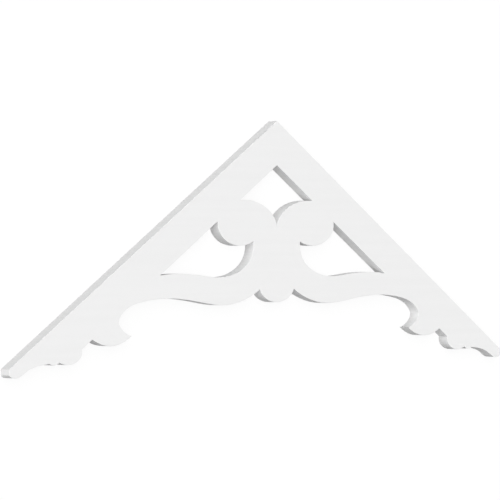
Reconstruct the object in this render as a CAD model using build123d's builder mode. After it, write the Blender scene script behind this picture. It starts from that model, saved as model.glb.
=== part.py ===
"""Gable pediment, sawn as one piece from a sheet of cellular PVC board.

It lies on its back: X runs across the gable, Y up towards the apex and Z out of the front face.
The origin is on the back face, in the middle of the outline's box. Lengths are in millimetres.
The outline's points are pairs: near a tip, how far in from it and how far below the rake's outer edge;
elsewhere, how far across from the middle and how far below the rake's inner edge.
"""

from build123d import *
from math import atan, cos
import os

# The board and its two rakes
half_span = 762.0
rise_per_run = 8 / 12
thickness = 25.4
rake_width = 79.0
tip_height = 12.0

# Crown, the pair of round shoulders under the upper window
crown_half_width = 102.5
crown_half_height = 62.5
crown_overlap = 0.3
crown_drop = 69.0

# Volute, the round end of each scroll in the side window
volute_half_width = 67.5
volute_half_height = 45.5
volute_across = 113.5
volute_drop = 51.0

# Drop, the round pendant in the middle of the lower edge
drop_half_width = 54.0
drop_half_height = 35.5
drop_below_apex = 352.5

# Heel and bead, the two small rounds behind each tip
heel_half_width = 37.5
heel_half_height = 25.0
heel_inward = 156.0
heel_depth = 75.5
bead_start = (133.0, 79.0)
bead_bottom = (123.0, 77.5)
bead_end = (105.5, 63.0)

# Tip lobe, the lowest point of the outline, and the cove between it and the bead.
# The lean is how far the tip's end turns in on its way down, the rise how far the cove's end climbs.
tip_lobe_inward = 15.5
tip_lobe_depth = 28.5
tip_lean = 0.5
cove_points = ((45.5, 36.5), (72.0, 45.0))
cove_rise = 0.1

# Toe, the round foot of each arm under the rake
toe_root = 540.5
toe_bottom = (488.0, 49.5)
toe_cusp = (431.0, 68.0)

# Lower edge of each arm, from the toe's cusp round the bay and in under the volute
arm_underside = (
    (456.0, 40.0),
    (467.5, 15.5),
    (452.0, 4.0),
    (414.0, 13.5),
    (340.5, 54.0),
    (251.5, 119.5),
    (157.5, 192.0),
    (99.0, 220.5),
    (54.0, 229.5),
)
arm_root = (35.5, 228.0)

# Upper edge of each arm, the sill of the side window, from the rake in to the neck
sill_root = 350.5
arm_top = (
    (292.0, 35.5),
    (233.5, 78.0),
    (178.0, 120.0),
    (112.0, 150.0),
    (79.0, 143.5),
    (72.5, 126.0),
)
neck = (75.0, 99.0)

# Where the windows' drawn outlines turn off the rake, inside the scroll
window_split = 152.0

# Levels worked out from the sizes above
rake_depth = rake_width / cos(atan(rise_per_run))
lowest_depth = (half_span - tip_lobe_inward) * rise_per_run + tip_lobe_depth
apex_y = lowest_depth / 2


def under_rake(across, below):
    """A point so far across from the middle and straight below the rake's inner edge."""
    return (across, apex_y - rake_depth - across * rise_per_run - below)


def from_tip(inward, depth):
    """A point so far in from the tip and straight below the rake's outer edge."""
    across = half_span - inward
    return (across, apex_y - across * rise_per_run - depth)


crown_across = crown_half_width - crown_overlap
crown_center = under_rake(crown_across, crown_drop)
volute_center = under_rake(volute_across, volute_drop)
drop_center = (0, apex_y - drop_below_apex)
heel_center = from_tip(heel_inward, heel_depth)
tip_lobe_bottom = from_tip(tip_lobe_inward, tip_lobe_depth)


def rake_board():
    """The plain sloping board, from the apex to the heel."""
    with BuildSketch() as sketch:
        with BuildLine():
            Polyline(
                (0, apex_y),
                from_tip(heel_inward, 0),
                from_tip(heel_inward, rake_depth),
                under_rake(0, 0),
                close=True,
            )
        make_face()
    return sketch.sketch


def tip():
    """The end of the rake: heel, bead, cove and tip lobe under a blunt tip."""
    with BuildSketch() as sketch:
        with BuildLine():
            Polyline(from_tip(*bead_start), heel_center, from_tip(heel_inward, 0), from_tip(0, 0),
                     from_tip(0, tip_height))
            Spline(from_tip(0, tip_height), tip_lobe_bottom, tangents=((-tip_lean, -1), (-1, 0)))
            Spline(tip_lobe_bottom, *[from_tip(*point) for point in cove_points],
                   from_tip(*bead_end), tangents=((-1, 0), (-1, cove_rise)))
            ThreePointArc(from_tip(*bead_end), from_tip(*bead_bottom), from_tip(*bead_start))
        make_face()
        with Locations(heel_center):
            Ellipse(heel_half_width, heel_half_height)
    return sketch.sketch


def web():
    """What hangs between the rakes, still without its windows: arm, toe and drop."""
    toe_end = under_rake(toe_root, 0)
    cusp = under_rake(*toe_cusp)
    with BuildSketch() as sketch:
        with BuildLine():
            ThreePointArc(toe_end, under_rake(*toe_bottom), cusp)
            Spline(cusp, *[under_rake(*point) for point in arm_underside], under_rake(*arm_root))
            Polyline(under_rake(*arm_root), drop_center, (0, apex_y), (toe_root, toe_end[1] + rake_depth / 2),
                     toe_end)
        make_face()
        with Locations(drop_center):
            Ellipse(drop_half_width, drop_half_height)
    return sketch.sketch


def upper_window():
    """The opening under the apex, above the two crowns."""
    split = under_rake(window_split, 0)
    with BuildSketch() as sketch:
        with BuildLine():
            Polyline(under_rake(0, 0), split, (0, crown_center[1]), close=True)
        make_face()
        with Locations(crown_center):
            Ellipse(crown_half_width, crown_half_height, mode=Mode.SUBTRACT)
    return sketch.sketch


def side_window():
    """The opening between rake, volute and arm."""
    split = under_rake(window_split, 0)
    sill_end = under_rake(sill_root, 0)
    with BuildSketch() as sketch:
        with BuildLine():
            Spline(sill_end, *[under_rake(*point) for point in arm_top], under_rake(*neck))
            Polyline(under_rake(*neck), split, sill_end)
        make_face()
        with Locations(volute_center):
            Ellipse(volute_half_width, volute_half_height, mode=Mode.SUBTRACT)
    return sketch.sketch


with BuildPart() as pediment:
    with BuildSketch() as front:
        add(rake_board())
        add(tip())
        add(web())
        add(upper_window(), mode=Mode.SUBTRACT)
        add(side_window(), mode=Mode.SUBTRACT)
        mirror(about=Plane.YZ)
    extrude(amount=thickness)

pediment.part.label = "pediment"
os.makedirs("parts", exist_ok=True)
export_step(pediment.part, "parts/pediment.step")
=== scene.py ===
"""Looks of the gable pediment: white foamed PVC board with sawn edges, lying on a pale floor."""
import math

import bpy
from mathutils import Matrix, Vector


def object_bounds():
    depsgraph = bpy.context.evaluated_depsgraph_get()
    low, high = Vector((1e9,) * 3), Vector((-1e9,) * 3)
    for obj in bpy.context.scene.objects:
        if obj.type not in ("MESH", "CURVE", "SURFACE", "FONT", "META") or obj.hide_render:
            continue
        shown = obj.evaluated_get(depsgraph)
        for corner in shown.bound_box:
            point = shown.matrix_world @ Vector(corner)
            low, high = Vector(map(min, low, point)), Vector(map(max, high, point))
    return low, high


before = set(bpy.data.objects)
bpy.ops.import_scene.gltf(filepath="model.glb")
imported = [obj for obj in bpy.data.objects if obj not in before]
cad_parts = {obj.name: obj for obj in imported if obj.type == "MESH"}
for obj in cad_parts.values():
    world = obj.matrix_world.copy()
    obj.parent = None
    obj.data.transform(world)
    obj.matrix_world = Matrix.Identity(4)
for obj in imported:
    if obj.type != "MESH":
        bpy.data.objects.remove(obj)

cad_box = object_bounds()
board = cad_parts["pediment"]

# Camera, as the photograph was taken: far off to the left, level with the middle of the board
CAMERA_PLACE = (-4.4336, -0.0056, 4.1810)
CAMERA_SWING = math.radians(-46.306)
CAMERA_DIP = math.radians(-0.0716)
LENS_MM = 204.365
SENSOR_MM = 36.0

# Finish of the board, with a low sheen
PVC_WHITE = (0.872, 0.872, 0.872)
SAWN_WHITE = (0.868, 0.868, 0.868)
SKIN_ROUGHNESS = 0.55
SKIN_ROUGHNESS_SPREAD = 0.05
SAWN_ROUGHNESS = 0.66
PVC_IOR = 1.5
PVC_SPECULAR = 0.12
RELIEF_STRENGTH = 0.35
RELIEF_DEPTH = 0.00012

# Fine marks: how many there are in a metre along X, Y and Z, their detail and their darkest tone
SKIN_GRAIN = ((620, 620, 620), 2.0, 0.985)
ROLLER_MARKS = ((1.2, 60, 1.2), 3.0, 0.985)
CUTTER_MARKS = ((850, 850, 22), 3.0, 0.93)
PORES = ((2300, 2300, 2300), 1.0, 0.90)
MARK_ROUGHNESS = 0.55
DARK_HEIGHT = 0.3
LIGHT_HEIGHT = 0.6

# Share of Z in the direction that a surface faces, on the skin and on a sawn wall
SKIN_FACING = 0.95
SAWN_FACING = 0.35

# Edges of the board, eased by the sander
ARRIS_WIDTH = 0.0005
ARRIS_SEGMENTS = 2
SHARP_ANGLE = math.radians(35)
FLAT_ANGLE = math.radians(0.5)
WELD_DISTANCE = 0.00002
LARGE_FACE_WEIGHT = 100

# Floor and light
FLOOR_SIZE = 14.0
FLOOR_GAP = 0.0004
FLOOR_GREY = 0.22
FLOOR_SHOWN_GREY = 0.12
FLOOR_GLOW = 0.89
SKY_BEHIND_APEX = 0.76
SKY_BEHIND_TIPS = 0.08
KEY_DIRECTION = (-0.775, 0.07, 0.628)
KEY_STRENGTH = 2.8
KEY_SPREAD = math.radians(100)
FILL_PLACE = (-4.2, 0.9, 3.4)
FILL_SIZE = 2.4
FILL_WATTS = 11


def set_up(thing, **settings):
    """Sets the named settings of a node, a modifier or a lamp."""
    for name, value in settings.items():
        setattr(thing, name, value)
    return thing


def new_node(nodes, kind, values=None, **settings):
    """A new node with its settings, and with values on some of its sockets."""
    node = set_up(nodes.new(kind), **settings)
    for socket, value in (values or {}).items():
        node.inputs[socket].default_value = value
    return node


def new_material(name):
    """An empty node material with its output."""
    material = bpy.data.materials.new(name)
    material.use_nodes = True
    nodes = material.node_tree.nodes
    nodes.clear()
    output = nodes.new("ShaderNodeOutputMaterial")
    return material, nodes, material.node_tree.links, output


def fine_marks_group():
    """Relief and tone of fine marks: noise on coordinates that are scaled apart in each direction."""
    group = bpy.data.node_groups.new("fine_marks", "ShaderNodeTree")
    for name in ("Vector", "Stretch"):
        group.interface.new_socket(name=name, in_out="INPUT", socket_type="NodeSocketVector")
    for name in ("Detail", "Darkest"):
        group.interface.new_socket(name=name, in_out="INPUT", socket_type="NodeSocketFloat")
    for name in ("Height", "Tone"):
        group.interface.new_socket(name=name, in_out="OUTPUT", socket_type="NodeSocketFloat")
    nodes, links = group.nodes, group.links
    given = nodes.new("NodeGroupInput")
    result = nodes.new("NodeGroupOutput")
    stretched = new_node(nodes, "ShaderNodeVectorMath", operation="MULTIPLY")
    noise = new_node(nodes, "ShaderNodeTexNoise", {"Scale": 1.0, "Roughness": MARK_ROUGHNESS})
    tone = new_node(nodes, "ShaderNodeMapRange",
                    {"From Min": DARK_HEIGHT, "From Max": LIGHT_HEIGHT, "To Max": 1.0})
    links.new(given.outputs["Vector"], stretched.inputs[0])
    links.new(given.outputs["Stretch"], stretched.inputs[1])
    links.new(stretched.outputs["Vector"], noise.inputs["Vector"])
    links.new(given.outputs["Detail"], noise.inputs["Detail"])
    links.new(noise.outputs["Fac"], tone.inputs["Value"])
    links.new(given.outputs["Darkest"], tone.inputs["To Min"])
    links.new(noise.outputs["Fac"], result.inputs["Height"])
    links.new(tone.outputs["Result"], result.inputs["Tone"])
    return group


def marks(nodes, links, group, place, stretch, detail, darkest):
    """The height and the tone of one kind of fine marks."""
    use = new_node(nodes, "ShaderNodeGroup", node_tree=group)
    for socket, value in (("Stretch", stretch), ("Detail", detail), ("Darkest", darkest)):
        use.inputs[socket].default_value = value
    links.new(place, use.inputs["Vector"])
    return use.outputs["Height"], use.outputs["Tone"]


def product(nodes, links, first, second):
    """The product of two sockets."""
    times = new_node(nodes, "ShaderNodeMath", operation="MULTIPLY")
    links.new(first, times.inputs[0])
    links.new(second, times.inputs[1])
    return times.outputs["Value"]


def mix_values(nodes, links, factor, first, second):
    """Linear mix of a socket with another socket or a number."""
    mix = new_node(nodes, "ShaderNodeMix", data_type="FLOAT")
    links.new(factor, mix.inputs["Factor"])
    links.new(first, mix.inputs["A"])
    if isinstance(second, float):
        mix.inputs["B"].default_value = second
    else:
        links.new(second, mix.inputs["B"])
    return mix.outputs["Result"]


def sawn_mask(nodes, links, facing):
    """0 on the two faces of the sheet and 1 on the walls that the saw has cut."""
    directions = nodes.new("ShaderNodeSeparateXYZ")
    upright = new_node(nodes, "ShaderNodeMath", operation="ABSOLUTE")
    sawn = new_node(nodes, "ShaderNodeMapRange", {"From Min": SKIN_FACING, "From Max": SAWN_FACING},
                    interpolation_type="SMOOTHSTEP")
    links.new(facing, directions.inputs["Vector"])
    links.new(directions.outputs["Z"], upright.inputs[0])
    links.new(upright.outputs["Value"], sawn.inputs["Value"])
    return sawn.outputs["Result"]


def board_material():
    """Satin skin on the two faces of the sheet, matt pored foam where the saw has cut it."""
    material, nodes, links, output = new_material("white_foamed_pvc")
    coordinates = nodes.new("ShaderNodeTexCoord")
    place = coordinates.outputs["Object"]
    group = fine_marks_group()
    skin_height, skin_tone = marks(nodes, links, group, place, *SKIN_GRAIN)
    roller_height, roller_tone = marks(nodes, links, group, place, *ROLLER_MARKS)
    cutter_height, cutter_tone = marks(nodes, links, group, place, *CUTTER_MARKS)
    pore_height, pore_tone = marks(nodes, links, group, place, *PORES)
    sawn = sawn_mask(nodes, links, coordinates.outputs["Normal"])

    tone = mix_values(nodes, links, sawn, product(nodes, links, skin_tone, roller_tone),
                      product(nodes, links, cutter_tone, pore_tone))
    white = new_node(nodes, "ShaderNodeMix", {"A": (*PVC_WHITE, 1), "B": (*SAWN_WHITE, 1)}, data_type="RGBA")
    links.new(sawn, white.inputs["Factor"])
    colour = new_node(nodes, "ShaderNodeVectorMath", operation="SCALE")
    links.new(white.outputs["Result"], colour.inputs[0])
    links.new(tone, colour.inputs["Scale"])

    skin_roughness = new_node(nodes, "ShaderNodeMapRange", {"To Min": SKIN_ROUGHNESS - SKIN_ROUGHNESS_SPREAD,
                                                            "To Max": SKIN_ROUGHNESS + SKIN_ROUGHNESS_SPREAD})
    links.new(roller_height, skin_roughness.inputs["Value"])
    roughness = mix_values(nodes, links, sawn, skin_roughness.outputs["Result"], SAWN_ROUGHNESS)

    sawn_height = mix_values(nodes, links, pore_tone, pore_height, cutter_height)
    height = mix_values(nodes, links, sawn, skin_height, sawn_height)
    bump = new_node(nodes, "ShaderNodeBump", {"Strength": RELIEF_STRENGTH, "Distance": RELIEF_DEPTH})
    links.new(height, bump.inputs["Height"])

    shader = new_node(nodes, "ShaderNodeBsdfPrincipled", {"IOR": PVC_IOR, "Specular IOR Level": PVC_SPECULAR})
    links.new(colour.outputs["Vector"], shader.inputs["Base Color"])
    links.new(roughness, shader.inputs["Roughness"])
    links.new(bump.outputs["Normal"], shader.inputs["Normal"])
    links.new(shader.outputs["BSDF"], output.inputs["Surface"])
    return material


def smooth_group():
    """Smooth shading everywhere except across sharp edges."""
    group = bpy.data.node_groups.new("smooth_by_angle", "GeometryNodeTree")
    for in_out in ("INPUT", "OUTPUT"):
        group.interface.new_socket(name="Geometry", in_out=in_out, socket_type="NodeSocketGeometry")
    nodes, links = group.nodes, group.links
    given = nodes.new("NodeGroupInput")
    result = nodes.new("NodeGroupOutput")
    faces = new_node(nodes, "GeometryNodeSetShadeSmooth", {"Shade Smooth": True}, domain="FACE")
    angle = nodes.new("GeometryNodeInputMeshEdgeAngle")
    sharp = new_node(nodes, "FunctionNodeCompare", {1: SHARP_ANGLE}, operation="GREATER_THAN")
    edges = new_node(nodes, "GeometryNodeSetShadeSmooth", {"Shade Smooth": False}, domain="EDGE")
    links.new(given.outputs["Geometry"], faces.inputs["Geometry"])
    links.new(faces.outputs["Geometry"], edges.inputs["Geometry"])
    links.new(angle.outputs["Unsigned Angle"], sharp.inputs[0])
    links.new(sharp.outputs["Result"], edges.inputs["Selection"])
    links.new(edges.outputs["Geometry"], result.inputs["Geometry"])
    return group


def ease_edges(piece):
    """Joins the loose triangles, rounds the sharp edges a little and shades the curves smoothly."""
    modifiers = piece.modifiers
    set_up(modifiers.new("weld", "WELD"), merge_threshold=WELD_DISTANCE)
    set_up(modifiers.new("flat_faces", "DECIMATE"), decimate_type="DISSOLVE", angle_limit=FLAT_ANGLE)
    set_up(modifiers.new("arris", "BEVEL"), width=ARRIS_WIDTH, segments=ARRIS_SEGMENTS, limit_method="ANGLE",
           angle_limit=SHARP_ANGLE, use_clamp_overlap=True)
    set_up(modifiers.new("smooth_curves", "NODES"), node_group=smooth_group())
    set_up(modifiers.new("level_faces", "WEIGHTED_NORMAL"), mode="FACE_AREA", weight=LARGE_FACE_WEIGHT,
           keep_sharp=True)


def shown_white(nodes, links):
    """1 for what the camera sees, directly, in a reflection or through glass."""
    path = nodes.new("ShaderNodeLightPath")
    either = new_node(nodes, "ShaderNodeMath", operation="MAXIMUM")
    any_of_three = new_node(nodes, "ShaderNodeMath", operation="MAXIMUM")
    links.new(path.outputs["Is Camera Ray"], either.inputs[0])
    links.new(path.outputs["Is Glossy Ray"], either.inputs[1])
    links.new(either.outputs["Value"], any_of_three.inputs[0])
    links.new(path.outputs["Is Transmission Ray"], any_of_three.inputs[1])
    return any_of_three.outputs["Value"]


def floor_material():
    """Pale floor that shows white and keeps the board's shadow."""
    material, nodes, links, output = new_material("pale_floor")
    unseen = new_node(nodes, "ShaderNodeBsdfDiffuse", {"Color": (FLOOR_GREY, FLOOR_GREY, FLOOR_GREY, 1)})
    seen = new_node(nodes, "ShaderNodeBsdfDiffuse",
                    {"Color": (FLOOR_SHOWN_GREY, FLOOR_SHOWN_GREY, FLOOR_SHOWN_GREY, 1)})
    glow = new_node(nodes, "ShaderNodeEmission", {"Strength": FLOOR_GLOW})
    lit = nodes.new("ShaderNodeAddShader")
    links.new(seen.outputs["BSDF"], lit.inputs[0])
    links.new(glow.outputs["Emission"], lit.inputs[1])
    pick = nodes.new("ShaderNodeMixShader")
    links.new(shown_white(nodes, links), pick.inputs["Fac"])
    links.new(unseen.outputs["BSDF"], pick.inputs[1])
    links.new(lit.outputs["Shader"], pick.inputs[2])
    links.new(pick.outputs["Shader"], output.inputs["Surface"])
    return material


def lay_floor():
    """A wide plain floor just under the board."""
    bpy.ops.mesh.primitive_plane_add(size=FLOOR_SIZE, location=(0, 0, cad_box[0][2] - FLOOR_GAP))
    floor = bpy.context.object
    floor.name = "floor"
    floor.data.materials.append(floor_material())


def add_lamp(name, kind, place, **settings):
    """A lamp at a place that shines towards the middle of the board."""
    lamp = set_up(bpy.data.lights.new(name, kind), **settings)
    holder = bpy.data.objects.new(name, lamp)
    holder.location = place
    holder.rotation_euler = Vector(place).to_track_quat("Z", "Y").to_euler()
    bpy.context.scene.collection.objects.link(holder)


def hang_sky():
    """A plain sky that is brightest behind the apex and dims towards the tips, and that shows white."""
    world = bpy.data.worlds.new("studio")
    bpy.context.scene.world = world
    world.use_nodes = True
    nodes, links = world.node_tree.nodes, world.node_tree.links
    nodes.clear()
    coordinates = nodes.new("ShaderNodeTexCoord")
    direction = nodes.new("ShaderNodeSeparateXYZ")
    strength = new_node(nodes, "ShaderNodeMapRange",
                        {"From Min": -1.0, "To Min": SKY_BEHIND_TIPS, "To Max": SKY_BEHIND_APEX})
    sky = new_node(nodes, "ShaderNodeBackground", {"Color": (1, 1, 1, 1)})
    backdrop = new_node(nodes, "ShaderNodeBackground", {"Color": (1, 1, 1, 1)})
    pick = nodes.new("ShaderNodeMixShader")
    output = nodes.new("ShaderNodeOutputWorld")
    links.new(coordinates.outputs["Generated"], direction.inputs["Vector"])
    links.new(direction.outputs["Y"], strength.inputs["Value"])
    links.new(strength.outputs["Result"], sky.inputs["Strength"])
    links.new(shown_white(nodes, links), pick.inputs["Fac"])
    links.new(sky.outputs["Background"], pick.inputs[1])
    links.new(backdrop.outputs["Background"], pick.inputs[2])
    links.new(pick.outputs["Shader"], output.inputs["Surface"])


def place_camera():
    """The photograph's viewpoint, looking down on the board from its left."""
    data = set_up(bpy.data.cameras.new("camera"), lens=LENS_MM, sensor_width=SENSOR_MM)
    camera = bpy.data.objects.new("camera", data)
    camera.location = CAMERA_PLACE
    camera.rotation_euler = (CAMERA_DIP, CAMERA_SWING, 0)
    bpy.context.scene.collection.objects.link(camera)
    bpy.context.scene.camera = camera


place_camera()
board.data.materials.clear()
board.data.materials.append(board_material())
ease_edges(board)
lay_floor()
add_lamp("key", "SUN", KEY_DIRECTION, energy=KEY_STRENGTH, angle=KEY_SPREAD)
add_lamp("left_softbox", "AREA", FILL_PLACE, shape="SQUARE", size=FILL_SIZE, energy=FILL_WATTS)
hang_sky()
bpy.context.scene.view_settings.view_transform = "Standard"
